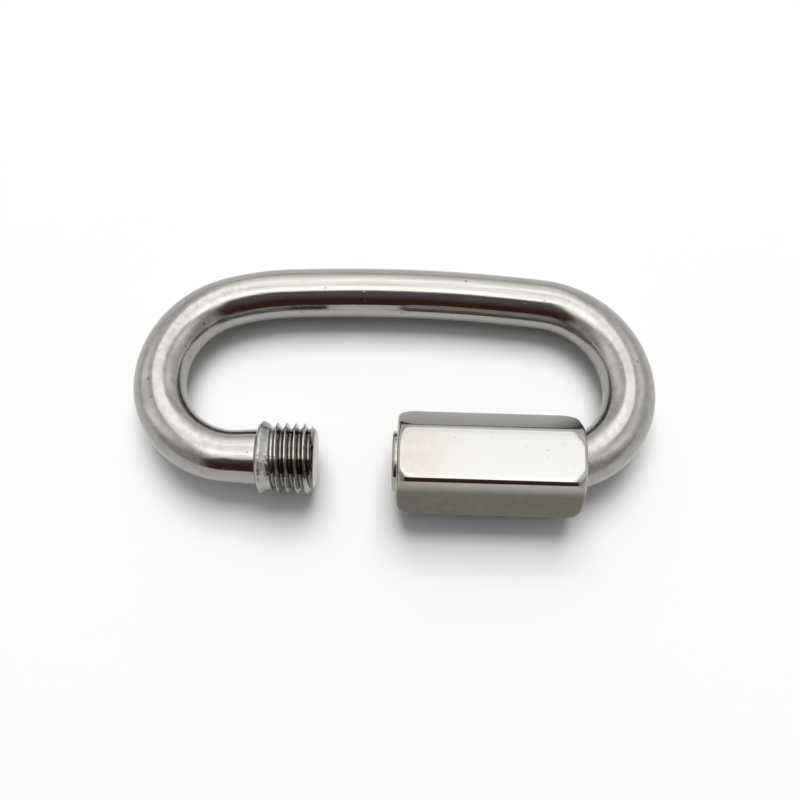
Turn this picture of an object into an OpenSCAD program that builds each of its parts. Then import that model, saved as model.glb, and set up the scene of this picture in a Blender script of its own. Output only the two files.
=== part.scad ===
// Chain quick link: a bent steel rod with an open mouth, and the hex sleeve nut that closes it.
// The link lies at rest on a flat of its nut and on its bowed back bar, with the nut wound open.
// +X runs along the nut, +Y from the nut to the back bar, +Z up; the origin is the bottom centre.

/* [Link] */
// Overall length of the link
link_len = 74; // [70:0.5:90]
// Diameter of the bent rod
rod_d = 7.33; // [6.4:0.01:8]
// Centreline radius of the two bends beside the nut
front_bend_r = 11.33; // [10:0.01:13]
// Centreline radius of the two bends beside the back bar
back_bend_r = 13.53; // [11:0.01:16]
// Height of the back bar's outward bow
bow_rise = 1.05; // [0.3:0.05:3]

/* [Threaded ends] */
// Major diameter of the thread on both ends
thread_d = 9.74; // [9.2:0.01:11]
// Length of thread on the short end
thread_len = 5.7; // [4:0.1:8]
// Depth of the chamfer on each end, along it and across it
end_chamfer = 0.95; // [0.4:0.05:1.4]
// Bare rod between the bend and the collar of the short end
bare_len = 3.6; // [2:0.1:5]
// Width of the collar that stops the nut
collar_w = 2.2; // [1.6:0.1:3]
// How far the collar stands above the thread
collar_rise = 0.18; // [0.1:0.01:0.4]
// Length of thread on the long end
long_thread_len = 16.5; // [12:0.1:19]

/* [Sleeve nut] */
// Length of the nut
nut_len = 25.15; // [22:0.05:27]
// Wall between the bore and a flat
nut_wall = 1.43; // [1:0.01:2.5]
// Fillet along the six long edges
nut_fillet = 1; // [0.4:0.05:1.6]
// Radius that rounds the turned ends
nut_end_round = 2.2; // [1:0.05:2.6]
// Chamfer at each mouth of the bore
bore_chamfer = 0.3; // [0.1:0.05:0.6]

/* [Fits] */
// Radial clearance of the nut on the thread
thread_clear = 0.05; // [0.02:0.01:0.1]
// Room between the nut's bore and the bend that it is wound on to
bend_clear = 0.25; // [0.2:0.05:0.8]
// How far the long end stands out of the open nut
end_proud = 0.65; // [0:0.05:2]

/* [Hidden] */
$fn = 96;

rod_r = rod_d / 2;
thread_r = thread_d / 2;
end_face_r = thread_r - end_chamfer;
collar_r = thread_r + collar_rise;

// Centreline of the rod, in the plane of the link: the back bar's bow is tangent to both its bends
centre_reach = link_len / 2 - rod_r;
bend_x = centre_reach - front_bend_r;
back_bend_x = centre_reach - back_bend_r;
angle_step = 0.0001;
bow_half = round(2 * atan(bow_rise / back_bend_x) / angle_step) * angle_step;
bow_arm = back_bend_x / sin(bow_half);
bow_r = back_bend_r + bow_arm;
bow_y = front_bend_r - bow_arm * cos(bow_half);
link_w = bow_y + bow_r;

// Nut: its open place is as far along the bend as its bore allows
bore_r = thread_r + thread_clear;
nut_half_af = bore_r + nut_wall;
nut_core_corner = (nut_half_af - nut_fillet) / cos(30);
nut_reach_y = nut_core_corner + nut_fillet;
bend_inside_r = front_bend_r - rod_r;
nut_run_on = sqrt(bend_inside_r ^ 2 - (front_bend_r - bore_r + bend_clear) ^ 2);
nut_right_x = bend_x + nut_run_on;
nut_left_x = nut_right_x - nut_len;

// Ends of the rod
long_end_x = nut_left_x - end_proud;
short_end_x = -bend_x + bare_len + collar_w + thread_len;
collar_foot_r = (rod_r + thread_r) / 2;
collar_crest = collar_w / 3;
collar_neck_r = thread_r - collar_rise * 2;
thread_runout = thread_r - rod_r;

// Pose at rest: a flat of the nut and the middle of the back bar both touch the ground
rest_tilt = asin((nut_half_af - rod_r) / link_w);
back_y = link_w * cos(rest_tilt) + rod_r;
axis_y = (nut_reach_y - back_y) / 2;
axis_z = nut_half_af;

// Places what is drawn about the nut's axis into the frame of the part
module on_nut_axis() {
    translate([0, axis_y, axis_z]) children();
}

// Turns a profile of [radius, place along X] about the X axis
module turned_on_x(profile) {
    rotate([90, 0, 90]) rotate_extrude() polygon(profile);
}

// Moves by whole thousandths and then by the rest, so that joined stretches of rod meet face to face
module placed(place) {
    coarse = [for (value = place) round(value * 1000) / 1000];
    translate(coarse) translate(place - coarse) children();
}

// One stretch of rod bent about a centre, from an angle and through a sweep
module bent_rod(centre, bend_r, from, sweep) {
    placed(centre) rotate_extrude(angle = sweep, start = from) placed([bend_r, 0]) circle(rod_r);
}

// The two bends of one side, from the nut's axis round to the back bar
module side_bends() {
    bent_rod([bend_x, front_bend_r], front_bend_r, -90, 90);
    bent_rod([back_bend_x, front_bend_r], back_bend_r, 0, 90 - bow_half);
}

// Short end: bare rod, the rough upset collar, then the thread at its major diameter
module short_end() {
    collar_x = -bend_x + bare_len;
    thread_x = collar_x + collar_w;
    turned_on_x([
        [0, -bend_x],
        [rod_r, -bend_x],
        [rod_r, collar_x],
        [collar_foot_r, collar_x],
        [collar_r, collar_x + collar_crest],
        [collar_neck_r, thread_x],
        [thread_r, thread_x + collar_rise * 2],
        [thread_r, short_end_x - end_chamfer],
        [end_face_r, short_end_x],
        [0, short_end_x]
    ]);
}

// Long end: the thread that carries the nut, running out to the bare rod before the bend
module long_end() {
    thread_x = long_end_x + long_thread_len;
    turned_on_x([
        [0, long_end_x],
        [end_face_r, long_end_x],
        [thread_r, long_end_x + end_chamfer],
        [thread_r, thread_x],
        [rod_r, thread_x + thread_runout],
        [rod_r, bend_x],
        [0, bend_x]
    ]);
}

// The rod, bent and threaded in one piece
module link_body() {
    color([0.74, 0.73, 0.70]) on_nut_axis() rotate([-rest_tilt, 0, 0]) union() {
        short_end();
        long_end();
        side_bends();
        mirror([1, 0, 0]) side_bends();
        bent_rod([0, bow_y], bow_r, 90 - bow_half, 2 * bow_half);
    }
}

// Section of the nut: a hexagon, flat side up, with its six corners filleted
module nut_section() {
    core_af = 2 * (nut_half_af - nut_fillet);
    for (turn = [0 : 60 : 120])
        rotate(turn) square([core_af / sqrt(3), 2 * nut_half_af], center = true);
    for (turn = [0 : 60 : 300])
        rotate(turn) translate([nut_core_corner, 0]) circle(nut_fillet);
}

// Half section of the turned blank whose rounded ends cut back the corners of the hexagon
module blank_section() {
    blank_r = nut_half_af / cos(30);
    flat_r = blank_r - nut_end_round;
    square([flat_r, nut_len]);
    translate([0, nut_end_round]) square([blank_r, nut_len - 2 * nut_end_round]);
    for (along = [nut_end_round, nut_len - nut_end_round])
        translate([flat_r, along]) intersection() {
            circle(nut_end_round);
            translate([-flat_r, -nut_end_round]) square([blank_r, 2 * nut_end_round]);
        }
}

// Bore of the nut, opened by a 45 degree chamfer at both mouths and cut clear past the end faces
module nut_bore() {
    past = bore_chamfer;
    mouth_r = bore_r + bore_chamfer + past;
    rotate_extrude() polygon([
        [0, -past],
        [mouth_r, -past],
        [bore_r, bore_chamfer],
        [bore_r, nut_len - bore_chamfer],
        [mouth_r, nut_len + past],
        [0, nut_len + past]
    ]);
}

// Hex sleeve nut in its open place on the long end
module sleeve_nut() {
    color([0.80, 0.79, 0.77]) on_nut_axis() translate([nut_left_x, 0, 0]) rotate([90, 0, 90]) difference() {
        intersection() {
            linear_extrude(nut_len) nut_section();
            rotate_extrude() blank_section();
        }
        nut_bore();
    }
}

link_body();
sleeve_nut();
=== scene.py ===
"""Chain quick link: a bent steel rod with threaded ends and its hex sleeve nut, on a pale floor."""

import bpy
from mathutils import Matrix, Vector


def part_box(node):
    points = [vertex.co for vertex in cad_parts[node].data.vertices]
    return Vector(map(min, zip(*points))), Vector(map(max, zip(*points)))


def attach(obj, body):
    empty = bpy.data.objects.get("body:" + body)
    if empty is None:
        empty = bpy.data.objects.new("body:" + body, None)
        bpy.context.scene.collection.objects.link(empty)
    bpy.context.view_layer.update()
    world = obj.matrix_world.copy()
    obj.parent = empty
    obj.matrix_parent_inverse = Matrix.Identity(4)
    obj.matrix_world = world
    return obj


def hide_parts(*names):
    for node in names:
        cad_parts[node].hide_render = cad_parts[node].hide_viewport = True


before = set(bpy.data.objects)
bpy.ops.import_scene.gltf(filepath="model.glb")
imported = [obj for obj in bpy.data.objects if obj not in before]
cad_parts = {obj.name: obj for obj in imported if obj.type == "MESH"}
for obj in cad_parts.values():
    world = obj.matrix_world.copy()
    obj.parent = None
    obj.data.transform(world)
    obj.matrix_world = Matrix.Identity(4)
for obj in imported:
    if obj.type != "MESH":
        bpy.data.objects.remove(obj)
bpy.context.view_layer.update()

import logging
import math
from dataclasses import dataclass
from enum import Enum

import bpy
import numpy as np
from mathutils import Matrix, Vector

log = logging.getLogger("quick_link")

Piece = bpy.types.Object
Socket = bpy.types.NodeSocket
Profile = list[tuple[float, float]]
Limits = tuple[float, float]
Colour = tuple[float, float, float, float]

MM = 0.001
MERGE_DISTANCE = 0.0004 * MM
FLATS = 6
SIXTH_TURN = math.radians(360 / FLATS)
QUARTER_DEG = 90.0
QUARTER_TURN = math.radians(QUARTER_DEG)


@dataclass(frozen=True)
class RestFrame:
    """Places of the nut's axis and of the two pieces' ends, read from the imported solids, in metres."""

    axis_y: float
    axis_z: float
    nut_left: float
    nut_right: float
    nut_half_af: float
    nut_reach: float
    half_length: float

    @classmethod
    def from_solids(cls) -> "RestFrame":
        """Reads the boxes of the two solids.

        Returns:
            The frame that both pieces are built in.
        """
        link_low, link_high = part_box("link_body")
        nut_low, nut_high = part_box("sleeve_nut")
        return cls(
            axis_y=(nut_low.y + nut_high.y) / 2,
            axis_z=(nut_low.z + nut_high.z) / 2,
            nut_left=nut_low.x,
            nut_right=nut_high.x,
            nut_half_af=(nut_high.z - nut_low.z) / 2,
            nut_reach=(nut_high.y - nut_low.y) / 2,
            half_length=(link_high.x - link_low.x) / 2,
        )

    @property
    def nut_len(self) -> float:
        """Length of the nut."""
        return self.nut_right - self.nut_left

    def on_axis(self, tilt: float = 0.0) -> Matrix:
        """Matrix that takes the nut's axis from the X axis to its place.

        Args:
            tilt: Angle by which the far side is let down, in radians.

        Returns:
            The matrix from the piece's own frame to the part's frame.
        """
        place = Matrix.Translation((0, self.axis_y, self.axis_z))
        return place @ Matrix.Rotation(-tilt, 4, "X")


class Bench:
    """The handful of modelling moves that both pieces are made with."""

    @staticmethod
    def clear() -> None:
        """Leaves edit mode and deselects everything."""
        if bpy.context.object and bpy.context.object.mode != "OBJECT":
            bpy.ops.object.mode_set(mode="OBJECT")
        bpy.ops.object.select_all(action="DESELECT")

    @staticmethod
    def ring(name: str, x: float, radius: float, sides: int) -> Piece:
        """Adds a circle square to the X axis and opens it for editing.

        Args:
            name: Name of the new object.
            x: Place along the X axis.
            radius: Radius of the circle.
            sides: Number of its points.

        Returns:
            The new object, in edit mode with the circle selected.
        """
        Bench.clear()
        bpy.ops.mesh.primitive_circle_add(vertices=sides, radius=radius, fill_type="NOTHING",
                                          location=(0, 0, 0), rotation=(0, 0, 0))
        piece = bpy.context.object
        piece.name = name
        piece.data.name = name
        piece.data.transform(Matrix.Translation((x, 0, 0)) @ Matrix.Rotation(QUARTER_TURN, 4, "Y"))
        bpy.ops.object.mode_set(mode="EDIT")
        bpy.ops.mesh.select_all(action="SELECT")
        return piece

    @staticmethod
    def turn(profile: Profile) -> None:
        """Draws the selected ring along the X axis through a turned profile.

        Args:
            profile: Places along X with their radii, starting at the ring as it is.
        """
        for (x_from, r_from), (x_to, r_to) in zip(profile, profile[1:]):
            bpy.ops.mesh.extrude_region_move(TRANSFORM_OT_translate={"value": (x_to - x_from, 0, 0)})
            if not math.isclose(r_to, r_from):
                grow = r_to / r_from
                bpy.ops.transform.resize(value=(1, grow, grow), center_override=(x_to, 0, 0))

    @staticmethod
    def spin(centre: tuple[float, float], angle: float, steps: int) -> None:
        """Bends the selected ring about an upright line.

        Args:
            centre: Place of the line in X and Y.
            angle: Angle of the bend, positive from +X towards +Y.
            steps: Number of steps along the bend.
        """
        bpy.ops.mesh.spin(steps=steps, angle=-angle, center=(centre[0], centre[1], 0), axis=(0, 0, 1),
                          use_auto_merge=False, use_normal_flip=False)

    @staticmethod
    def close() -> None:
        """Caps the open ends of the piece in edit mode, and turns its faces outwards."""
        bpy.ops.mesh.select_all(action="SELECT")
        bpy.ops.mesh.remove_doubles(threshold=MERGE_DISTANCE)
        bpy.ops.mesh.select_all(action="SELECT")
        bpy.ops.mesh.fill_holes(sides=0)
        Bench.face_out()

    @staticmethod
    def face_out() -> None:
        """Turns all faces of the piece in edit mode outwards, and leaves edit mode."""
        bpy.ops.mesh.select_all(action="SELECT")
        bpy.ops.mesh.normals_make_consistent(inside=False)
        bpy.ops.object.mode_set(mode="OBJECT")

    @staticmethod
    def pick(piece: Piece) -> None:
        """Selects one piece alone and makes it the active one."""
        Bench.clear()
        piece.select_set(True)
        bpy.context.view_layer.objects.active = piece

    @staticmethod
    def apply(piece: Piece, modifier: bpy.types.Modifier) -> None:
        """Applies one modifier of a piece.

        Args:
            piece: The piece that carries the modifier.
            modifier: The modifier to apply.
        """
        Bench.pick(piece)
        bpy.ops.object.modifier_apply(modifier=modifier.name)

    @staticmethod
    def cut(piece: Piece, tool: Piece) -> None:
        """Cuts a tool's shape out of a piece and throws the tool away.

        Args:
            piece: The piece to cut.
            tool: The closed shape that is taken out of it.
        """
        modifier = piece.modifiers.new("cut", "BOOLEAN")
        modifier.operation = "DIFFERENCE"
        modifier.solver = "EXACT"
        modifier.object = tool
        Bench.apply(piece, modifier)
        bpy.data.objects.remove(tool)

    @staticmethod
    def finish(piece: Piece, place: Matrix, crease: float) -> None:
        """Puts a piece in its place, with its faces shaded smooth up to a crease.

        Args:
            piece: The piece to finish.
            place: Matrix from the piece's own frame to the part's frame.
            crease: Angle above which an edge stays sharp, in degrees.
        """
        Bench.pick(piece)
        bpy.ops.object.mode_set(mode="EDIT")
        bpy.ops.mesh.select_all(action="SELECT")
        bpy.ops.mesh.remove_doubles(threshold=MERGE_DISTANCE)
        bpy.ops.mesh.dissolve_degenerate(threshold=MERGE_DISTANCE)
        Bench.face_out()
        piece.data.transform(place)
        bpy.ops.object.shade_smooth_by_angle(angle=math.radians(crease))


@dataclass(frozen=True)
class Thread:
    """The right-hand screw thread that both ends of the rod and the nut share, in metres."""

    pitch: float = 1.25 * MM
    major_r: float = 4.87 * MM
    minor_r: float = 4.08 * MM
    flank_deg: float = 30.0
    crest_flat: float = 0.13 * MM
    crest_x: float = -15.92 * MM
    play: float = 0.05 * MM
    clearance: float = 0.3 * MM
    steps: int = 72

    @property
    def drill_r(self) -> float:
        """Radius of the nut's hole before it is tapped."""
        return self.minor_r + 2 * self.play

    @property
    def tapped_r(self) -> float:
        """Radius of the bottom of the tapped groove."""
        return self.major_r + self.play

    @property
    def flank(self) -> float:
        """Width along X of one flank of the thread."""
        return (self.major_r - self.minor_r) * math.tan(math.radians(self.flank_deg))

    def _sweep(self, name: str, centre: float, half: Profile, x_from: float, x_to: float) -> Piece:
        """Winds a groove about the X axis into a closed helical bar.

        Args:
            name: Name of the bar.
            centre: Place along X of the groove's middle at one of its turns.
            half: Half widths of the groove with their radii, from one side's mouth to its root.
            x_from: Place along X that the bar has to start before.
            x_to: Place along X that the bar has to pass.

        Returns:
            The closed bar.
        """
        outline = [(centre - width, radius) for width, radius in half]
        outline += [(centre + width, radius) for width, radius in reversed(half)]
        first = math.floor((x_from - centre) / self.pitch)
        turns = math.ceil((x_to - x_from) / self.pitch) + 1
        Bench.clear()
        bpy.ops.mesh.primitive_circle_add(vertices=len(outline), radius=MM, fill_type="NOTHING")
        bar = bpy.context.object
        bar.name = name
        for vertex, (x, radius) in zip(bar.data.vertices, outline):
            vertex.co = (x + first * self.pitch, radius, 0)
        screw = bar.modifiers.new("wind", "SCREW")
        screw.axis = "X"
        screw.angle = math.tau
        screw.screw_offset = self.pitch
        screw.iterations = turns
        screw.steps = self.steps
        screw.render_steps = self.steps
        screw.use_merge_vertices = False
        Bench.apply(bar, screw)
        bpy.ops.object.mode_set(mode="EDIT")
        Bench.close()
        return bar

    def rod_groove(self, x_from: float, x_to: float) -> Piece:
        """The V groove that a die cuts into the rod.

        Args:
            x_from: Place along X where the groove starts.
            x_to: Place along X where it ends.

        Returns:
            The closed shape to cut out of the rod.
        """
        centre = self.crest_x + self.pitch / 2
        mouth = (self.pitch - self.crest_flat) / 2
        root = mouth - self.flank
        half = [(mouth, self.major_r + self.clearance), (mouth, self.major_r), (root, self.minor_r)]
        return self._sweep("rod_groove", centre, half, x_from, x_to)

    def nut_groove(self, x_from: float, x_to: float) -> Piece:
        """The V groove that a tap cuts into the nut, with play round the rod's thread.

        Args:
            x_from: Place along X where the groove starts.
            x_to: Place along X where it ends.

        Returns:
            The closed shape to cut out of the nut.
        """
        crest = self.crest_flat / 2 + self.play
        foot = crest + self.flank
        half = [(foot, self.minor_r - self.clearance), (foot, self.drill_r), (crest, self.tapped_r)]
        return self._sweep("nut_groove", self.crest_x, half, x_from, x_to)


@dataclass
class LinkBody:
    """The rod: bent into an open oval, upset and threaded at both ends, in metres.

    The three falls are pairs of a share of a length and a share of a height or radius.
    """

    rest: RestFrame
    thread: Thread
    rod_r: float = 3.665 * MM
    front_bend_r: float = 11.33 * MM
    back_bend_r: float = 13.53 * MM
    bow_rise: float = 1.05 * MM
    left_bend_r: float = 13.0 * MM
    left_shoulder_r: float = 36.0 * MM
    left_bow_r: float = 230.0 * MM
    bare_len: float = 3.6 * MM
    bare_fall: tuple = ((0.35, 0.7), (0.7, 0.25))
    swell: float = 0.22 * MM
    collar_w: float = 2.2 * MM
    collar_rise: float = 0.18 * MM
    collar_fall: tuple = ((0.0, 0.885), (0.1, 0.89), (0.2, 0.9), (0.3, 0.915), (0.4, 0.935),
                          (0.48, 0.955), (0.56, 0.975), (0.63, 0.992), (0.69, 1.0), (0.75, 0.998),
                          (0.81, 0.985), (0.86, 0.965), (0.91, 0.935), (0.96, 0.9), (1.0, 0.86))
    foot_rise: float = 0.15 * MM
    foot_len: float = 0.1 * MM
    burr: float = 0.3 * MM
    burr_grain: float = 0.9 * MM
    burr_layers: int = 3
    burr_level: float = 0.55
    burr_least: float = 0.35
    burr_lead: float = 0.02 * MM
    thread_len: float = 5.7 * MM
    run_out: float = 0.3 * MM
    end_chamfer: float = 0.95 * MM
    end_lip: float = 0.12 * MM
    long_thread_len: float = 16.5 * MM
    long_chamfer: float = 1.3 * MM
    end_proud: float = 0.65 * MM
    nose_r: float = 4.15 * MM
    nose_len: float = 0.8 * MM
    nose_fall: tuple = ((1.0, 1.004), (0.22, 1.0), (0.1, 0.985), (0.03, 0.96), (0.0, 0.92), (0.0, 0.1))
    sides: int = 96
    front_steps: int = 48
    back_steps: int = 44
    bow_steps: int = 30
    left_steps: tuple = (36, 20, 24)
    crease_deg: float = 32.0

    def __post_init__(self) -> None:
        """Works out the places along the rod from the sizes."""
        self.reach = self.rest.half_length - self.rod_r
        self.bend_x = self.reach - self.front_bend_r
        self.back_x = self.reach - self.back_bend_r
        self.bow_half = 2 * math.atan(self.bow_rise / self.back_x)
        bow_arm = self.back_x / math.sin(self.bow_half)
        self.bow_r = self.back_bend_r + bow_arm
        self.bow_y = self.front_bend_r - bow_arm * math.cos(self.bow_half)
        self.width = self.bow_y + self.bow_r
        self.tilt = math.asin((self.rest.axis_z - self.rod_r) / self.width)
        self.collar_x = -self.bend_x + self.bare_len
        self.short_x = self.collar_x + self.collar_w + self.thread_len
        self.long_x = self.rest.nut_left - self.end_proud
        self.bow_s = self.bow_r * self.bow_half
        self.back_s = self.bow_s + self.back_bend_r * (QUARTER_TURN - self.bow_half)
        self.front_s = self.back_s + self.front_bend_r * QUARTER_TURN

    def _short_profile(self) -> Profile:
        """Turned profile of the short end, from its face to the bend.

        Returns:
            Places along X with their radii.
        """
        major = self.thread.major_r
        thread_x = self.short_x - self.thread_len
        crest_r = major + self.collar_rise
        collar = [(thread_x - share * self.collar_w, height * crest_r)
                  for share, height in self.collar_fall]
        bare = [(self.collar_x - self.bare_len * share, self.rod_r + self.swell * height)
                for share, height in self.bare_fall]
        return [
            (self.short_x, major - self.end_chamfer - self.end_lip),
            (self.short_x - self.end_lip / 2, major - self.end_chamfer),
            (self.short_x - self.end_chamfer, major),
            (thread_x + self.run_out, major),
            *collar,
            (self.collar_x, self.rod_r + self.swell + self.foot_rise),
            (self.collar_x - self.foot_len, self.rod_r + self.swell),
            *bare,
            (-self.bend_x, self.rod_r),
        ]

    def _long_profile(self) -> Profile:
        """Turned profile of the long end, from the bend to the bare nose that leads the thread in.

        Returns:
            Places along X with their radii.
        """
        major = self.thread.major_r
        thread_x = self.long_x + self.long_thread_len
        nose = [(self.long_x + share * self.nose_len, height * self.nose_r)
                for share, height in self.nose_fall]
        return [
            (self.bend_x, self.rod_r),
            (thread_x + (major - self.rod_r), self.rod_r),
            (thread_x, major),
            (self.long_x + self.long_chamfer, major),
            *nose,
        ]

    def build(self) -> Piece:
        """Turns, bends, threads and places the rod.

        Returns:
            The finished piece.
        """
        short = self._short_profile()
        piece = Bench.ring("quick_link_rod", *short[0], self.sides)
        Bench.turn(short)
        Bench.spin((-self.bend_x, self.front_bend_r), -QUARTER_TURN, self.front_steps)
        for centre, angle, steps in self._left_back():
            Bench.spin(centre, -angle, steps)
        Bench.spin((0, self.bow_y), -self.bow_half, self.bow_steps)
        Bench.spin((self.back_x, self.front_bend_r), self.bow_half - QUARTER_TURN, self.back_steps)
        Bench.spin((self.bend_x, self.front_bend_r), -QUARTER_TURN, self.front_steps)
        Bench.turn(self._long_profile())
        Bench.close()
        pitch = self.thread.pitch
        Bench.cut(piece, self.thread.rod_groove(self.long_x + self.long_chamfer + pitch,
                                                self.long_x + self.long_thread_len))
        self._roughen_collar(piece)
        Bench.cut(piece, self.thread.rod_groove(self.collar_x + self.collar_w, self.short_x + pitch))
        self._note_unbent(piece)
        Bench.finish(piece, self.rest.on_axis(self.tilt), self.crease_deg)
        return piece

    def _left_back(self) -> list[tuple[tuple[float, float], float, int]]:
        """Bends of the left half of the back, where the rod leaves its bow through a slack shoulder.

        Returns:
            Centre, angle and number of steps of each bend, from the left end to the middle.
        """
        bend = Vector((self.left_bend_r - self.reach, self.front_bend_r))
        bow = Vector((0, self.width - self.left_bow_r))
        apart = bend - bow
        to_bend = self.left_shoulder_r - self.left_bend_r
        to_bow = self.left_bow_r - self.left_shoulder_r
        lean = (apart.length_squared + to_bend ** 2 - to_bow ** 2) / (2 * to_bend * apart.length)
        bend_angle = math.atan2(apart.y, -apart.x) - math.acos(lean)
        shoulder = bend + to_bend * Vector((math.cos(bend_angle), -math.sin(bend_angle)))
        bow_angle = math.atan2(-shoulder.x, shoulder.y - bow.y)
        shoulder_angle = QUARTER_TURN - bow_angle - bend_angle
        centres = (tuple(bend), tuple(shoulder), tuple(bow))
        return list(zip(centres, (bend_angle, shoulder_angle, bow_angle), self.left_steps))

    def _roughen_collar(self, piece: Piece) -> None:
        """Raises the torn burrs of the upset collar.

        Args:
            piece: The rod, before its short thread is cut.
        """
        group = piece.vertex_groups.new(name="collar")
        low = self.collar_x - self.burr_lead
        high = self.collar_x + self.collar_w
        for vertex in piece.data.vertices:
            if low < vertex.co.x < high and vertex.co.y < self.front_bend_r:
                rise = min(vertex.co.x - low, high - vertex.co.x) / (self.collar_w / 2)
                group.add([vertex.index], min(1.0, self.burr_least + rise), "REPLACE")
        grain = bpy.data.textures.new("collar_burrs", "CLOUDS")
        grain.noise_scale = self.burr_grain
        grain.noise_depth = self.burr_layers
        modifier = piece.modifiers.new("burrs", "DISPLACE")
        modifier.texture = grain
        modifier.texture_coords = "LOCAL"
        modifier.vertex_group = group.name
        modifier.strength = self.burr
        modifier.mid_level = self.burr_level
        Bench.apply(piece, modifier)

    def _note_unbent(self, piece: Piece) -> None:
        """Stores where each point would lie if the rod were straight, for patterns that follow it.

        Args:
            piece: The rod in its own frame.
        """
        spots = np.empty(len(piece.data.vertices) * 3)
        piece.data.vertices.foreach_get("co", spots)
        x, y, z = spots.reshape(-1, 3).T
        side = np.where(x < 0, -1.0, 1.0)
        across = np.abs(x)
        front = np.arctan2(across - self.bend_x, self.front_bend_r - y)
        back = np.arctan2(y - self.front_bend_r, across - self.back_x)
        bow = np.arctan2(across, y - self.bow_y)
        on_arm = (across < self.bend_x) & (y < self.front_bend_r)
        on_front = (across >= self.bend_x) & (y < self.front_bend_r)
        on_back = (y >= self.front_bend_r) & (bow > self.bow_half)
        stretches = [on_arm, on_front, on_back]
        arm_s = self.front_s + self.bend_x - across
        front_s = self.back_s + self.front_bend_r * (QUARTER_TURN - front)
        back_s = self.bow_s + self.back_bend_r * (QUARTER_TURN - self.bow_half - back)
        along = np.select(stretches, [arm_s, front_s, back_s], self.bow_r * bow)
        front_out = np.hypot(across - self.bend_x, self.front_bend_r - y) - self.front_bend_r
        back_out = np.hypot(across - self.back_x, y - self.front_bend_r) - self.back_bend_r
        bow_out = np.hypot(across, y - self.bow_y) - self.bow_r
        outward = np.select(stretches, [-y, front_out, back_out], bow_out)
        unbent = np.stack([side * along, outward, z], axis=1)
        attribute = piece.data.attributes.new("unbent", "FLOAT_VECTOR", "POINT")
        attribute.data.foreach_set("vector", unbent.astype(np.float32).ravel())


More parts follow.
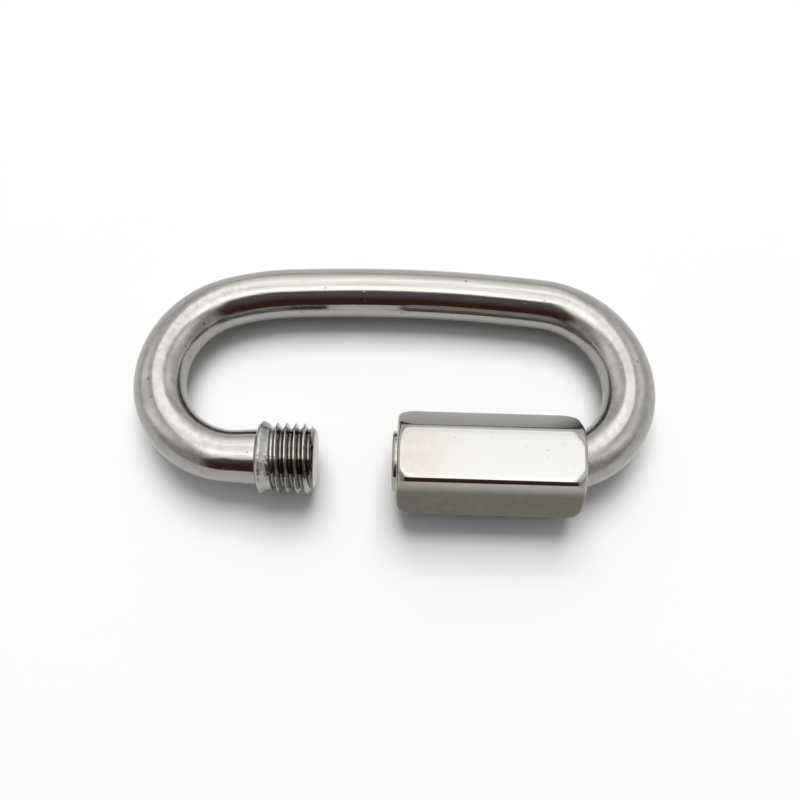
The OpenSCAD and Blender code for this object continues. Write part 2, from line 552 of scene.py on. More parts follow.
@dataclass
class SleeveNut:
    """The hex sleeve nut, filleted along its edges, domed at its ends and tapped, in metres."""

    rest: RestFrame
    thread: Thread
    fillet: float = 0.7 * MM
    dome_len: float = 2.8 * MM
    corner_across: float = 2.9 * MM
    corner_along: float = 2.6 * MM
    edge_round: float = 0.5 * MM
    edge_soft: float = 0.28 * MM
    mouth_chamfer: float = 0.35 * MM
    counterbore_len: float = 2.4 * MM
    counterbore_r: float = 4.96 * MM
    bore_past: float = 0.5 * MM
    bore_sides: int = 144
    flat_steps: int = 14
    fillet_steps: int = 10
    dome_steps: int = 30
    dome_crowding: float = 1.6
    body_steps: int = 8
    crease_deg: float = 40.0

    def __post_init__(self) -> None:
        """Works out the hexagon inside the fillets and the angle where a flat ends."""
        self.core = self.rest.nut_half_af - self.fillet
        self.flat_end = math.atan2(self.core * math.tan(SIXTH_TURN / 2), self.rest.nut_half_af)

    def _angles(self) -> np.ndarray:
        """Angles round the nut, closer together on the filleted edges.

        Returns:
            One angle for each point of a ring, from the middle of a flat, in radians.
        """
        flat = np.linspace(-self.flat_end, self.flat_end, self.flat_steps, endpoint=False)
        bend = np.linspace(self.flat_end, SIXTH_TURN - self.flat_end, self.fillet_steps, endpoint=False)
        sector = np.concatenate([flat, bend])
        return np.concatenate([sector + SIXTH_TURN * turn for turn in range(FLATS)])

    def _hex_radius(self, angles: np.ndarray) -> np.ndarray:
        """Distance from the axis to the filleted hexagon.

        Args:
            angles: Angles from the middle of a flat, in radians.

        Returns:
            The distance at each angle.
        """
        off_flat = np.abs((angles + SIXTH_TURN / 2) % SIXTH_TURN - SIXTH_TURN / 2)
        corner = self.core / math.cos(SIXTH_TURN / 2)
        on_flat = self.rest.nut_half_af / np.cos(off_flat)
        turn = SIXTH_TURN / 2 - off_flat
        aside = corner * np.sin(turn)
        on_fillet = corner * np.cos(turn) + np.sqrt(np.maximum(self.fillet ** 2 - aside ** 2, 0))
        return np.minimum(np.where(off_flat <= self.flat_end, on_flat, on_fillet), self.rest.nut_reach)

    def _stations(self) -> np.ndarray:
        """Distances of the rings from the left end, closer together over the domed ends."""
        length = self.rest.nut_len
        lift = np.linspace(0, 1, self.dome_steps) ** self.dome_crowding * self.dome_len
        body = np.linspace(self.dome_len, length - self.dome_len, self.body_steps + 1)[1:-1]
        return np.concatenate([lift, body, length - lift[::-1]])

    def build(self) -> Piece:
        """Shapes, bores, taps and places the nut.

        Returns:
            The finished piece.
        """
        angles = self._angles()
        stations = self._stations()
        blank_r = self.rest.nut_half_af / math.cos(SIXTH_TURN / 2)
        piece = Bench.ring("quick_link_nut", self.rest.nut_left, blank_r, len(angles))
        Bench.turn([(self.rest.nut_left + along, blank_r) for along in stations])
        bpy.ops.object.mode_set(mode="OBJECT")
        hexagon = self._hex_radius(angles)
        spots = np.empty(len(piece.data.vertices) * 3)
        piece.data.vertices.foreach_get("co", spots)
        spots = spots.reshape(len(stations), len(angles), 3)
        for ring, along in zip(spots, stations):
            inside = min(along, self.rest.nut_len - along)
            dome = self._dome_radius(inside)
            short = max(self.edge_round - inside, 0)
            soft = self._soft_least(hexagon, dome)
            soft = soft - self.edge_round + math.sqrt(self.edge_round ** 2 - short ** 2)
            ring[:, 1] = soft * np.sin(angles)
            ring[:, 2] = soft * np.cos(angles)
        piece.data.vertices.foreach_set("co", spots.ravel())
        bpy.ops.object.mode_set(mode="EDIT")
        Bench.close()
        Bench.cut(piece, self._bore())
        Bench.cut(piece, self.thread.nut_groove(self.rest.nut_left - self.thread.pitch,
                                                self.rest.nut_right - self.counterbore_len))
        Bench.finish(piece, self.rest.on_axis(), self.crease_deg)
        return piece

    def _dome_radius(self, inside: float) -> float:
        """Radius of the domed blank, which gives every flat its round corners.

        Args:
            inside: Distance from the nearer end.

        Returns:
            The radius there.
        """
        half_flat = math.sqrt(self.rest.nut_reach ** 2 - self.rest.nut_half_af ** 2) + self.edge_soft
        short = 1 - min(inside / self.corner_along, 1)
        across = half_flat - self.corner_across * (1 - math.sqrt(1 - short ** 2))
        return math.hypot(self.rest.nut_half_af, across)

    def _soft_least(self, first: np.ndarray, second: float) -> np.ndarray:
        """The lesser of two radii, blended where they are close so that the edge is rounded.

        Args:
            first: Radii of the hexagon.
            second: Radius of the domed blank.

        Returns:
            The blended radii.
        """
        near = np.maximum(self.edge_soft - np.abs(first - second), 0) / self.edge_soft
        return np.minimum(first, second) - near ** 2 * self.edge_soft / 4

    def _bore(self) -> Piece:
        """The drilled hole with its chamfered mouths and its counterbore over the bend.

        Returns:
            The closed shape to cut out of the nut.
        """
        left = self.rest.nut_left
        right = self.rest.nut_right
        past = self.bore_past
        drill_r = self.thread.drill_r
        mouth_r = self.thread.tapped_r + self.mouth_chamfer
        step_x = right - self.counterbore_len
        profile = [
            (left - past, mouth_r + past),
            (left + mouth_r - drill_r, drill_r),
            (step_x - (self.counterbore_r - drill_r), drill_r),
            (step_x, self.counterbore_r),
            (right - self.mouth_chamfer, self.counterbore_r),
            (right + past, self.counterbore_r + self.mouth_chamfer + past),
        ]
        tool = Bench.ring("nut_bore", *profile[0], self.bore_sides)
        Bench.turn(profile)
        Bench.close()
        return tool


class Sum(Enum):
    """The sums that a node can do."""

    ADD = "ADD"
    SUBTRACT = "SUBTRACT"
    MULTIPLY = "MULTIPLY"
    DIVIDE = "DIVIDE"
    GREATER = "MAXIMUM"
    SIZE = "ABSOLUTE"
    ROOT = "SQRT"
    ANGLE_OF_SINE = "ARCSINE"
    ANGLE_OF_SIDES = "ARCTAN2"


class Nodes:
    """Short hand for laying out the nodes of one tree.

    Attributes:
        MIX_FIRST: Number of a mix's input for its first colour.
        MIX_SECOND: Number of its input for the second colour.
        MIX_RESULT: Number of its output for the mixed colour.
    """

    MIX_FIRST = 6
    MIX_SECOND = 7
    MIX_RESULT = 2

    def __init__(self, tree: bpy.types.NodeTree) -> None:
        """Starts on a tree, with whatever it holds cleared away."""
        self.tree = tree
        tree.nodes.clear()

    @classmethod
    def of_material(cls, name: str) -> tuple[bpy.types.Material, "Nodes"]:
        """Starts a new material.

        Args:
            name: Name of the material.

        Returns:
            The material and its empty tree.
        """
        material = bpy.data.materials.new(name)
        material.use_nodes = True
        return material, cls(material.node_tree)

    def add(self, kind: str, inputs: dict | None = None, **settings: object) -> bpy.types.Node:
        """Adds a node, sets it up and joins its inputs.

        Args:
            kind: Type name of the node.
            inputs: Values or sockets for its inputs, by name or number.
            settings: Properties of the node.

        Returns:
            The new node.
        """
        node = self.tree.nodes.new(kind)
        for name, value in settings.items():
            setattr(node, name, value)
        for name, value in (inputs or {}).items():
            if isinstance(value, Socket):
                self.tree.links.new(value, node.inputs[name])
            else:
                node.inputs[name].default_value = value
        return node

    def math(self, kind: Sum, first: object, second: object = 0.0) -> Socket:
        """Adds a sum of two values.

        Args:
            kind: Which sum it is.
            first: First value or socket.
            second: Second value or socket.

        Returns:
            The result's socket.
        """
        return self.add("ShaderNodeMath", {0: first, 1: second}, operation=kind.value).outputs[0]

    def line(self, value: object, factor: object, offset: object) -> Socket:
        """Adds a value times a factor plus an offset.

        Args:
            value: The value or socket.
            factor: What it is multiplied by.
            offset: What is added.

        Returns:
            The result's socket.
        """
        node = self.add("ShaderNodeMath", {0: value, 1: factor, 2: offset}, operation="MULTIPLY_ADD")
        return node.outputs[0]

    def fade(self, value: object, low: float, high: float, to_low: float = 0.0,
             to_high: float = 1.0) -> Socket:
        """Adds a smooth step of a value between two limits.

        Args:
            value: The value or socket.
            low: Where the step starts.
            high: Where it ends.
            to_low: Result before the step.
            to_high: Result after it.

        Returns:
            The result's socket.
        """
        node = self.add("ShaderNodeMapRange", {"Value": value, "From Min": low, "From Max": high,
                                               "To Min": to_low, "To Max": to_high},
                        interpolation_type="SMOOTHSTEP")
        return node.outputs["Result"]

    def edge(self, value: object, place: float, limits: Limits, to_low: float = 0.0,
             to_high: float = 1.0) -> Socket:
        """Adds a smooth step of a value about a place.

        Args:
            value: The value or socket.
            place: The place.
            limits: Where the step starts and ends, from that place.
            to_low: Result before the step.
            to_high: Result after it.

        Returns:
            The result's socket.
        """
        return self.fade(value, place + limits[0], place + limits[1], to_low, to_high)

    def blend(self, factor: object, first: object, second: object) -> Socket:
        """Adds a mix of two colours.

        Args:
            factor: Share of the second colour.
            first: First colour or socket.
            second: Second colour or socket.

        Returns:
            The mixed colour's socket.
        """
        inputs = {0: factor, self.MIX_FIRST: first, self.MIX_SECOND: second}
        return self.add("ShaderNodeMix", inputs, data_type="RGBA").outputs[self.MIX_RESULT]

    def ramp(self, value: object, levels: tuple, full: float) -> Socket:
        """Adds a grey ramp through a list of levels.

        Args:
            value: The value or socket, from 0 to 1.
            levels: Pairs of a place and its grey level.
            full: Place that stands for a value of 1.

        Returns:
            The grey colour's socket.
        """
        node = self.add("ShaderNodeValToRGB", {"Fac": value})
        elements = node.color_ramp.elements
        while len(elements) < len(levels):
            elements.new(0.5)
        for element, (place, level) in zip(elements, levels):
            element.position = place / full
            element.color = (level, level, level, 1)
        return node.outputs[0]

    def stretch(self, vector: Socket, scale: tuple) -> Socket:
        """Adds a mapping that scales a place along each axis.

        Args:
            vector: Socket with the place.
            scale: Factor for each axis.

        Returns:
            The scaled place's socket.
        """
        return self.add("ShaderNodeMapping", {"Vector": vector, "Scale": scale}).outputs[0]

    def noise(self, vector: object, scale: float, detail: float = 2.0) -> Socket:
        """Adds a noise texture.

        Args:
            vector: Socket with the place to look up.
            scale: Bumps for each unit of length.
            detail: Number of finer layers.

        Returns:
            The noise value's socket.
        """
        node = self.add("ShaderNodeTexNoise", {"Vector": vector, "Scale": scale, "Detail": detail})
        return node.outputs["Fac"]

    def metal(self, tone: Socket, rough: Socket, relief: Socket) -> None:
        """Ends a material as bare metal with a fine relief.

        Args:
            tone: Socket with the colour.
            rough: Socket with the roughness.
            relief: Socket with the height of the relief, in millimetres.
        """
        bump = self.add("ShaderNodeBump", {"Strength": 1.0, "Distance": MM, "Height": relief})
        shader = self.add("ShaderNodeBsdfPrincipled", {"Base Color": tone, "Metallic": 1.0,
                                                       "Roughness": rough, "Normal": bump.outputs[0]})
        self.add("ShaderNodeOutputMaterial", {"Surface": shader.outputs[0]})


@dataclass(frozen=True)
class Pits:
    """Small round pits here and there in steel.

    Attributes:
        cells: Cells for each millimetre, each with room for one pit.
        size: Radius of a pit, as a share of a cell.
        rarity: Noise level under which there are none.
        patches: Bumps of that noise for each millimetre.
        patch_edge: Rise of the noise level over which the pits set in.
        slope: Where a pit's slope starts and ends, as shares of its radius.
    """

    cells: float
    size: float
    rarity: float
    patches: float = 0.37
    patch_edge: float = 0.08
    slope: Limits = (0.5, 1.8)

    def lay(self, nodes: Nodes, place: Socket) -> Socket:
        """Lays the pits.

        Args:
            nodes: The tree to lay them in.
            place: Socket with the place, in millimetres.

        Returns:
            Socket of the pits' mask.
        """
        cells = nodes.add("ShaderNodeTexVoronoi", {"Vector": place, "Scale": self.cells})
        patches = nodes.noise(place, self.patches, detail=1.0)
        here = nodes.edge(patches, self.rarity, (0.0, self.patch_edge))
        pit = nodes.fade(cells.outputs["Distance"], self.size * self.slope[0], self.size * self.slope[1],
                         1.0, 0.0)
        return nodes.math(Sum.MULTIPLY, pit, here)


@dataclass(frozen=True)
class Scratches:
    """Short hair scratches here and there in steel.

    Attributes:
        cells: Cells for each millimetre, whose borders the scratches follow.
        width: Where a scratch starts to fade and where it ends, as shares of a cell.
        patches: Bumps for each millimetre of the noise that says where there are any.
        patch_levels: Levels of that noise between which the scratches set in.
        strength: How strongly they show.
    """

    cells: float = 0.34
    width: Limits = (0.004, 0.016)
    patches: float = 0.9
    patch_levels: Limits = (0.64, 0.72)
    strength: float = 0.35

    def lay(self, nodes: Nodes, place: Socket) -> Socket:
        """Lays the scratches.

        Args:
            nodes: The tree to lay them in.
            place: Socket with the place, in millimetres.

        Returns:
            Socket of the scratches' mask.
        """
        cells = nodes.add("ShaderNodeTexVoronoi", {"Vector": place, "Scale": self.cells},
                          feature="DISTANCE_TO_EDGE")
        here = nodes.fade(nodes.noise(place, self.patches), *self.patch_levels, 0.0, self.strength)
        hair = nodes.fade(cells.outputs["Distance"], *self.width, 1.0, 0.0)
        return nodes.math(Sum.MULTIPLY, hair, here)


@dataclass(frozen=True)
class TumbledWear:
    """Node group for the fine wear of tumbled steel: mottling, pits, scratches and a soft relief.

    Scales are bumps for each millimetre. The four pit levels are two levels of the relief, and how far
    the pits show at each.
    """

    name: str = "tumbled_steel"
    mottle_scale: float = 0.8
    peel_scale: float = 4.2
    line_scale: float = 3.2
    pits: Pits = Pits(0.9, 0.075, 0.54)
    pit_levels: tuple = (0.4, 0.6, 0.4, 1.0)
    scratches: Scratches = Scratches()

    def group(self) -> bpy.types.NodeTree:
        """Builds the group once.

        Returns:
            The group. Its inputs are Place, in millimetres, and Drawn, the same place squeezed along the
            piece; its outputs are Mottle, Marks and the heights Peel and Lines, from 0 to 1.
        """
        if self.name in bpy.data.node_groups:
            return bpy.data.node_groups[self.name]
        tree = bpy.data.node_groups.new(self.name, "ShaderNodeTree")
        for name in ("Place", "Drawn"):
            tree.interface.new_socket(name, in_out="INPUT", socket_type="NodeSocketVector")
        for name in ("Mottle", "Marks", "Peel", "Lines"):
            tree.interface.new_socket(name, in_out="OUTPUT", socket_type="NodeSocketFloat")
        nodes = Nodes(tree)
        given = nodes.add("NodeGroupInput").outputs
        mottle = nodes.noise(given["Place"], self.mottle_scale, detail=5.0)
        peel = nodes.noise(given["Place"], self.peel_scale, detail=3.0)
        lines = nodes.noise(given["Drawn"], self.line_scale, detail=4.0)
        pits = nodes.math(Sum.MULTIPLY, self.pits.lay(nodes, given["Place"]),
                          nodes.fade(peel, *self.pit_levels))
        marks = nodes.math(Sum.GREATER, pits, self.scratches.lay(nodes, given["Place"]))
        nodes.add("NodeGroupOutput", {"Mottle": mottle, "Marks": marks, "Peel": peel, "Lines": lines})
        return tree

    def lay(self, nodes: Nodes, spot: Socket,
            squeeze: float) -> tuple[Socket, bpy.types.bpy_prop_collection]:
        """Places the group in a material.

        Args:
            nodes: The material's tree.
            spot: Socket with the place on the piece, in metres.
            squeeze: Factor along the piece for the drawn lines.

        Returns:
            Socket with the place in millimetres, and the group's outputs.
        """
        place = nodes.stretch(spot, (1 / MM, 1 / MM, 1 / MM))
        drawn = nodes.stretch(spot, (squeeze, 1 / MM, 1 / MM))
        node = nodes.add("ShaderNodeGroup", {"Place": place, "Drawn": drawn}, node_tree=self.group())
        return place, node.outputs


@dataclass(frozen=True)
class RodSteel:
    """Finish of the rod: drawn and tumbled stainless steel, torn on the collar and sawn at its end.

    The limits of bends, collar, face and roots are in millimetres from the place that they belong to.
    The pairs of heights are what the bends add and what is everywhere, in millimetres.
    """

    name: str = "tumbled_rod_steel"
    colour: Colour = (0.37, 0.36, 0.34, 1)
    shade: Colour = (0.325, 0.312, 0.288, 1)
    torn: Colour = (0.38, 0.373, 0.36, 1)
    sawn: Colour = (0.58, 0.58, 0.575, 1)
    mark: Colour = (0.17, 0.155, 0.135, 1)
    grime: Colour = (0.13, 0.105, 0.085, 1)
    squeeze: float = 40.0
    dings: Pits = Pits(0.42, 0.07, 0.5)
    shade_levels: Limits = (0.35, 0.65)
    bend_start: Limits = (-5.0, 7.0)
    bend_end: Limits = (-4.0, 2.0)
    collar_foot: Limits = (-0.1, 0.12)
    collar_neck: Limits = (-0.25, 0.05)
    face_edge: Limits = (0.04, 0.1)
    root_depth: Limits = (0.05, 0.4)
    root_start: Limits = (0.0, 0.5)
    root_end: Limits = (-0.1, 0.1)
    root_share: float = 0.75
    least_rough: float = 0.05
    bend_rough: float = 0.05
    streak_rough: float = 0.09
    torn_rough: float = 0.08
    sawn_rough: float = 0.3
    peel_heights: Limits = (0.0095, 0.0012)
    line_heights: Limits = (0.005, 0.005)
    facet_heights: Limits = (0.06, 0.02)
    facet_stretch: tuple = (50, 900, 900)
    facet_scale: float = 0.6
    mark_depth: float = 0.03
    tear_scale: float = 2.8
    tear_height: float = 0.075

    def make(self, link: LinkBody) -> bpy.types.Material:
        """Builds the material.

        Args:
            link: The rod, for the places of its stretches.

        Returns:
            The material.
        """
        material, nodes = Nodes.of_material(self.name)
        unbent = nodes.add("ShaderNodeAttribute", attribute_name="unbent").outputs["Vector"]
        place, wear = TumbledWear().lay(nodes, unbent, self.squeeze)
        along, out, up = nodes.add("ShaderNodeSeparateXYZ", {0: place}).outputs
        bend = self._bends(nodes, link, along)
        torn, sawn = self._short_end(nodes, link, along)
        grime = self._roots(nodes, link, along, out, up)
        marks = nodes.math(Sum.GREATER, wear["Marks"], self.dings.lay(nodes, place))
        patchy = nodes.math(Sum.MULTIPLY, wear["Mottle"], bend)
        streaky = nodes.line(nodes.math(Sum.SUBTRACT, 1.0, bend), wear["Lines"], patchy)
        tone = nodes.blend(nodes.fade(streaky, *self.shade_levels), self.shade, self.colour)
        coats = ((marks, self.mark), (grime, self.grime), (torn, self.torn), (sawn, self.sawn))
        for mask, colour in coats:
            tone = nodes.blend(mask, tone, colour)
        rough = nodes.line(bend, self.bend_rough, self.least_rough)
        rough = nodes.line(streaky, self.streak_rough, rough)
        rough = nodes.line(torn, self.torn_rough, rough)
        rough = nodes.line(sawn, self.sawn_rough, rough)
        facets = nodes.noise(nodes.stretch(unbent, self.facet_stretch), self.facet_scale, detail=1.0)
        tears = nodes.math(Sum.MULTIPLY, nodes.noise(place, self.tear_scale, detail=3.0), torn)
        relief = nodes.math(Sum.MULTIPLY, wear["Peel"], nodes.line(bend, *self.peel_heights))
        relief = nodes.line(wear["Lines"], nodes.line(bend, *self.line_heights), relief)
        relief = nodes.line(facets, nodes.line(bend, *self.facet_heights), relief)
        relief = nodes.line(marks, -self.mark_depth, relief)
        relief = nodes.line(tears, self.tear_height, relief)
        nodes.metal(tone, rough, relief)
        return material

    def _bends(self, nodes: Nodes, link: LinkBody, along: Socket) -> Socket:
        """Masks the bends, where patches take the place of drawn streaks.

        Args:
            nodes: The tree to lay the mask in.
            link: The rod, for the places of its stretches.
            along: Socket with the place along the straight rod, in millimetres.

        Returns:
            Socket of the mask.
        """
        away = nodes.math(Sum.SIZE, along)
        return nodes.math(Sum.MULTIPLY, nodes.edge(away, link.bow_s / MM, self.bend_start),
                          nodes.edge(away, link.front_s / MM, self.bend_end, 1.0, 0.0))

    def _short_end(self, nodes: Nodes, link: LinkBody, along: Socket) -> tuple[Socket, Socket]:
        """Masks the torn collar and the sawn face of the short end.

        Args:
            nodes: The tree to lay them in.
            link: The rod, for the places of its stretches.
            along: Socket with the place along the straight rod, in millimetres.

        Returns:
            Sockets of the collar's mask and the face's mask.
        """
        foot = -(link.front_s + link.bend_x + link.collar_x) / MM
        neck = foot - link.collar_w / MM
        face = foot - (link.short_x - link.collar_x) / MM
        torn = nodes.math(Sum.MULTIPLY, nodes.edge(along, foot, self.collar_foot, 1.0, 0.0),
                          nodes.edge(along, neck, self.collar_neck))
        return torn, nodes.edge(along, face, self.face_edge, 1.0, 0.0)

    def _roots(self, nodes: Nodes, link: LinkBody, along: Socket, out: Socket, up: Socket) -> Socket:
        """Masks the roots of the threads, where grime stays, as far as the long end's bare nose.

        Args:
            nodes: The tree to lay the mask in.
            link: The rod, for the places of its stretches.
            along: Socket with the place along the straight rod, in millimetres.
            out: Socket with the place away from the loop's middle.
            up: Socket with the place square to the loop.

        Returns:
            Socket of the mask.
        """
        radius = nodes.math(Sum.ROOT, nodes.line(out, out, nodes.math(Sum.MULTIPLY, up, up)))
        deep = nodes.edge(radius, link.thread.minor_r / MM, self.root_depth, 1.0, 0.0)
        tip = link.front_s + link.bend_x - link.long_x
        start = (tip - link.long_thread_len) / MM
        threaded = nodes.edge(nodes.math(Sum.SIZE, along), start, self.root_start)
        short_of_nose = nodes.edge(along, (tip - link.nose_len) / MM, self.root_end, 1.0, 0.0)
        deep = nodes.math(Sum.MULTIPLY, nodes.math(Sum.MULTIPLY, deep, threaded), self.root_share)
        return nodes.math(Sum.MULTIPLY, deep, short_of_nose)


@dataclass(frozen=True)
class NutSteel:
    """Finish of the nut: polished steel, warm at its left end, with tarnish and painted shade on its
    front and back flats.

    The painted shade stands for the dark reflections of those flats. It is mottled, and it grows weaker
    across the back flat. The limits of the warm end and of the shaded flats are in millimetres from the
    place that they belong to, and heights are in millimetres. Four levels are two levels of the mottling
    and the share at each.
    """

    name: str = "polished_nut_steel"
    colour: Colour = (0.37, 0.363, 0.35, 1)
    warm: Colour = (0.335, 0.31, 0.265, 1)
    # Painted shade with some tarnish: the darker colour of the front and back flats, standing for their
    # dark reflections.
    tarnish_and_shade: Colour = (0.132, 0.121, 0.098, 1)
    mark: Colour = (0.24, 0.225, 0.2, 1)
    squeeze: float = 60.0
    warm_end: Limits = (1.0, 11.0)
    warm_share: float = 0.85
    warm_levels: tuple = (0.3, 0.62, 0.45, 1.0)
    # Where the painted shade lies on the front and back flats, how it weakens across the back flat, and
    # its mottling.
    shaded_front: Limits = (-1.4, -0.2)
    shaded_back: Limits = (0.1, 0.7)
    back_shade_fall: Limits = (0.0, 3.6)
    back_shade_least: float = 0.6
    shade_mottle_levels: tuple = (0.3, 0.7, 0.93, 1.0)
    least_rough: float = 0.07
    mottle_rough: float = 0.07
    peel_height: float = 0.0035
    line_height: float = 0.0012
    mark_depth: float = 0.008

    def make(self, nut: SleeveNut) -> bpy.types.Material:
        """Builds the material.

        Args:
            nut: The nut, for the places of its left end and of the edges of its top.

        Returns:
            The material.
        """
        material, nodes = Nodes.of_material(self.name)
        spot = nodes.add("ShaderNodeTexCoord").outputs["Object"]
        place, wear = TumbledWear().lay(nodes, spot, self.squeeze)
        along, depth, _ = nodes.add("ShaderNodeSeparateXYZ", {0: place}).outputs
        left = nodes.edge(along, nut.rest.nut_left / MM, self.warm_end, self.warm_share, 0.0)
        stain = nodes.math(Sum.MULTIPLY, left, nodes.fade(wear["Mottle"], *self.warm_levels))
        half_top = nut.rest.nut_half_af / math.sqrt(3)
        front_edge = (nut.rest.axis_y - half_top) / MM
        back_edge = (nut.rest.axis_y + half_top) / MM
        # Painted shade, mottled like tarnish, on the front flats and the back flats, weaker away from
        # the top's back edge.
        front = nodes.edge(depth, front_edge, self.shaded_front, 1.0, 0.0)
        back = nodes.math(Sum.MULTIPLY, nodes.edge(depth, back_edge, self.shaded_back),
                          nodes.edge(depth, back_edge, self.back_shade_fall, 1.0, self.back_shade_least))
        tarnish_and_shade_mask = nodes.math(Sum.MULTIPLY, nodes.math(Sum.ADD, front, back),
                          nodes.fade(wear["Mottle"], *self.shade_mottle_levels))
        tone = nodes.blend(stain, self.colour, self.warm)
        # Darkens the front and back flats with the painted shade.
        tone = nodes.blend(tarnish_and_shade_mask, tone, self.tarnish_and_shade)
        tone = nodes.blend(wear["Marks"], tone, self.mark)
        rough = nodes.line(wear["Mottle"], self.mottle_rough, self.least_rough)
        relief = nodes.math(Sum.MULTIPLY, wear["Peel"], self.peel_height)
        relief = nodes.line(wear["Lines"], self.line_height, relief)
        relief = nodes.line(wear["Marks"], -self.mark_depth, relief)
        nodes.metal(tone, rough, relief)
        return material


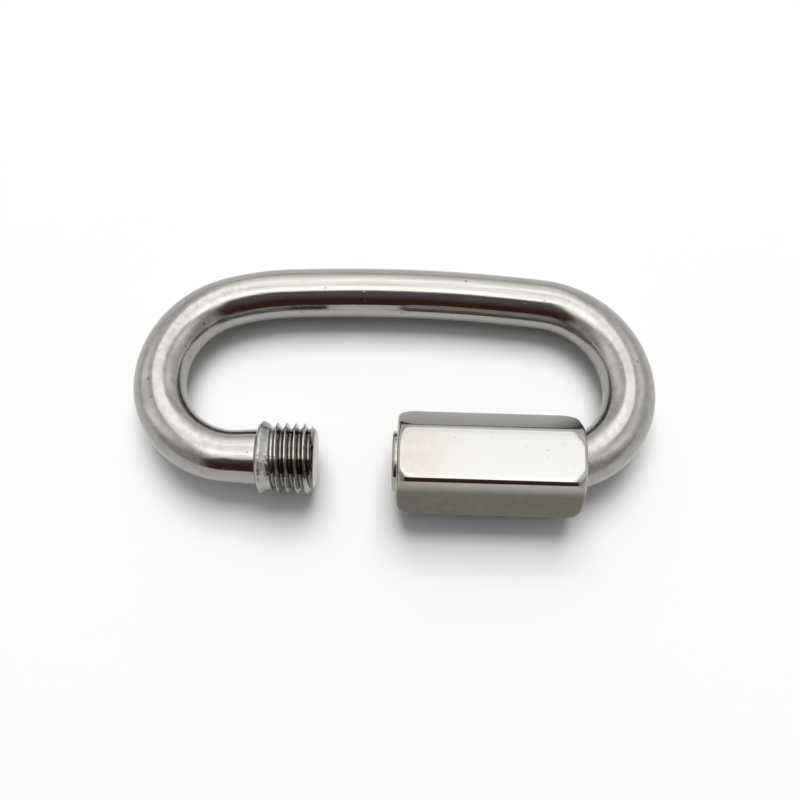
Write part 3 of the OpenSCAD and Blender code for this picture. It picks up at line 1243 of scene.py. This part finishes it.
@dataclass
class Studio:
    """Pale floor and wall, soft light from above and behind, and the camera.

    The sky's levels are pairs of an angle from straight up, in degrees, and a brightness. Its limits are
    parts, along one axis, of the direction looked in.
    """

    lens_mm: float = 39.04
    sensor_mm: float = 36.0
    camera_from_axis: tuple = (1.088 * MM, -23.049 * MM, 124.01 * MM)
    camera_right: tuple = (0.99956, 0.02895, 0.00576)
    camera_up: tuple = (-0.02945, 0.96492, 0.26089)
    floor_size: float = 3.0
    floor_sides: int = 128
    floor_drop: float = 0.01 * MM
    floor_colour: Colour = (0.88, 0.88, 0.875, 1)
    floor_rough: float = 0.9
    floor_gloss: float = 0.1
    wall_height: float = 0.36
    lamp_place: tuple = (0.0, 0.7, 1.31)
    lamp_size: float = 0.86
    lamp_power: float = 20.2
    sky_strength: float = 2.4
    sky_base: float = 0.26
    diffuse_cut: float = 0.74
    left_share: float = 0.78
    depth_levels: tuple = ((-90, 0.1), (-30, 0.1), (-10, 0.64), (-4, 0.95), (1, 1.0), (10, 0.82),
                           (20, 0.6), (30, 0.68), (41, 0.86), (52, 0.62), (64, 0.4), (77, 0.2),
                           (90, 0.1))
    side_levels: tuple = ((0, 1.0), (13, 1.0), (20, 0.2), (26, 0.2), (36, 0.42), (42, 0.4), (60, 0.12),
                          (90, 0.0))
    front_fall: Limits = (-0.5, 0.0)
    front_share: float = 0.65
    dark_slant: float = 0.95
    dark_start: Limits = (0.09, 0.15)
    dark_sides: Limits = (0.4, 0.55)
    dark_rise: Limits = (0.6, 0.97)
    dark_low: Colour = (0.034, 0.013, 0.0095, 1)
    dark_high: Colour = (0.075, 0.074, 0.073, 1)

    def build(self, rest: RestFrame) -> None:
        """Sets the whole studio up.

        Args:
            rest: Frame of the part, for the camera's place.
        """
        self._camera(rest)
        self._floor()
        self._wall()
        self._lamp()
        self._light()
        bpy.context.scene.view_settings.view_transform = "Standard"

    def _camera(self, rest: RestFrame) -> None:
        """Places the camera over the link.

        Args:
            rest: Frame of the part.
        """
        data = bpy.data.cameras.new("camera")
        data.sensor_width = self.sensor_mm
        data.lens = self.lens_mm
        data.clip_start = MM
        camera = bpy.data.objects.new("camera", data)
        bpy.context.scene.collection.objects.link(camera)
        right = Vector(self.camera_right).normalized()
        up = Vector(self.camera_up)
        up = (up - right * up.dot(right)).normalized()
        back = right.cross(up)
        turn = Matrix((right, up, back)).transposed().to_4x4()
        x, y, z = self.camera_from_axis
        camera.matrix_world = Matrix.Translation((x, y + rest.axis_y, z)) @ turn
        bpy.context.scene.camera = camera

    def _floor(self) -> None:
        """Lays the floor just under the link."""
        Bench.clear()
        bpy.ops.mesh.primitive_circle_add(vertices=self.floor_sides, radius=self.floor_size / 2,
                                          fill_type="NGON", location=(0, 0, -self.floor_drop))
        floor = bpy.context.object
        floor.name = "floor"
        material, nodes = Nodes.of_material("pale_floor")
        shader = nodes.add("ShaderNodeBsdfPrincipled", {"Base Color": self.floor_colour,
                                                        "Roughness": self.floor_rough,
                                                        "Specular IOR Level": self.floor_gloss})
        nodes.add("ShaderNodeOutputMaterial", {"Surface": shader.outputs[0]})
        floor.data.materials.append(material)

    def _wall(self) -> None:
        """Stands a low pale wall round the floor, for the background of the low views."""
        Bench.clear()
        bpy.ops.mesh.primitive_cylinder_add(vertices=self.floor_sides, radius=self.floor_size / 2,
                                            depth=self.wall_height, end_fill_type="NOTHING",
                                            location=(0, 0, self.wall_height / 2))
        wall = bpy.context.object
        wall.name = "wall"
        material, nodes = Nodes.of_material("pale_wall")
        glow = nodes.add("ShaderNodeEmission", {"Color": self.floor_colour, "Strength": 1.0})
        nodes.add("ShaderNodeOutputMaterial", {"Surface": glow.outputs[0]})
        wall.data.materials.append(material)

    def _lamp(self) -> None:
        """Hangs a soft lamp over the back of the link, for the floor's shadow."""
        data = bpy.data.lights.new("soft_lamp", "AREA")
        data.size = self.lamp_size
        data.energy = self.lamp_power
        lamp = bpy.data.objects.new("soft_lamp", data)
        bpy.context.scene.collection.objects.link(lamp)
        lamp.location = self.lamp_place
        lamp.rotation_euler = (-Vector(self.lamp_place)).to_track_quat("-Z", "Y").to_euler()
        lamp.visible_glossy = False

    def _light(self) -> None:
        """Lights the scene with a soft sky that is brightest overhead and dim in front."""
        world = bpy.data.worlds.new("studio")
        bpy.context.scene.world = world
        world.use_nodes = True
        nodes = Nodes(world.node_tree)
        toward = nodes.add("ShaderNodeTexCoord").outputs["Generated"]
        x, y, z = nodes.add("ShaderNodeSeparateXYZ", {0: toward}).outputs
        aside = nodes.math(Sum.GREATER, x, nodes.math(Sum.MULTIPLY, x, -self.left_share))
        sideways = nodes.math(Sum.DIVIDE, nodes.math(Sum.ANGLE_OF_SINE, aside), QUARTER_TURN)
        backward = nodes.math(Sum.DIVIDE, nodes.math(Sum.ANGLE_OF_SIDES, y, z), 2 * QUARTER_TURN)
        from_front = tuple((angle + QUARTER_DEG, level) for angle, level in self.depth_levels)
        depth = nodes.ramp(nodes.math(Sum.ADD, backward, 0.5), from_front, 2 * QUARTER_DEG)
        spread = nodes.ramp(sideways, self.side_levels, QUARTER_DEG)
        share = nodes.fade(y, *self.front_fall, self.front_share, 1.0)
        base = nodes.math(Sum.MULTIPLY, share, self.sky_base)
        dark, dim = self._dark_front(nodes, x, y, z)
        sky = nodes.blend(dark, nodes.line(depth, spread, base), dim)
        diffuse = nodes.add("ShaderNodeLightPath").outputs["Is Diffuse Ray"]
        strength = nodes.line(diffuse, -self.diffuse_cut * self.sky_strength, self.sky_strength)
        lit = nodes.add("ShaderNodeBackground", {"Color": sky, "Strength": strength})
        nodes.add("ShaderNodeOutputWorld", {"Surface": lit.outputs[0]})

    def _dark_front(self, nodes: Nodes, x: Socket, y: Socket, z: Socket) -> tuple[Socket, Socket]:
        """Lays the dark wedge of sky in front, which the steel mirrors.

        Args:
            nodes: The world's tree.
            x: Socket with the part of the direction to the right.
            y: Socket with its part to the back.
            z: Socket with its part upwards.

        Returns:
            Sockets of the wedge's mask and of its colour.
        """
        width = nodes.math(Sum.SIZE, x)
        front = nodes.math(Sum.SUBTRACT, nodes.math(Sum.MULTIPLY, y, -1.0),
                           nodes.math(Sum.MULTIPLY, width, self.dark_slant))
        mask = nodes.math(Sum.MULTIPLY, nodes.fade(front, *self.dark_start),
                          nodes.fade(width, *self.dark_sides, 1.0, 0.0))
        return mask, nodes.blend(nodes.fade(z, *self.dark_rise), self.dark_low, self.dark_high)


def dress(piece: Piece, material: bpy.types.Material, body: str, node: str) -> None:
    """Gives a piece its finish, hangs it under the body that it moves with, and hides the solid that it
    stands for.

    Args:
        piece: The finished piece.
        material: Its finish.
        body: Body that it moves with.
        node: Solid that it stands for.
    """
    piece.data.materials.clear()
    piece.data.materials.append(material)
    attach(piece, body)
    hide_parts(node)
    log.info("%s: %d faces on %s", piece.name, len(piece.data.polygons), body)


def main() -> None:
    """Builds the quick link and its studio."""
    logging.basicConfig(level=logging.INFO)
    rest = RestFrame.from_solids()
    thread = Thread()
    link = LinkBody(rest, thread)
    nut = SleeveNut(rest, thread)
    dress(link.build(), RodSteel().make(link), "link", "link_body")
    dress(nut.build(), NutSteel().make(nut), "nut", "sleeve_nut")
    Studio().build(rest)


if __name__ == "__main__":
    main()
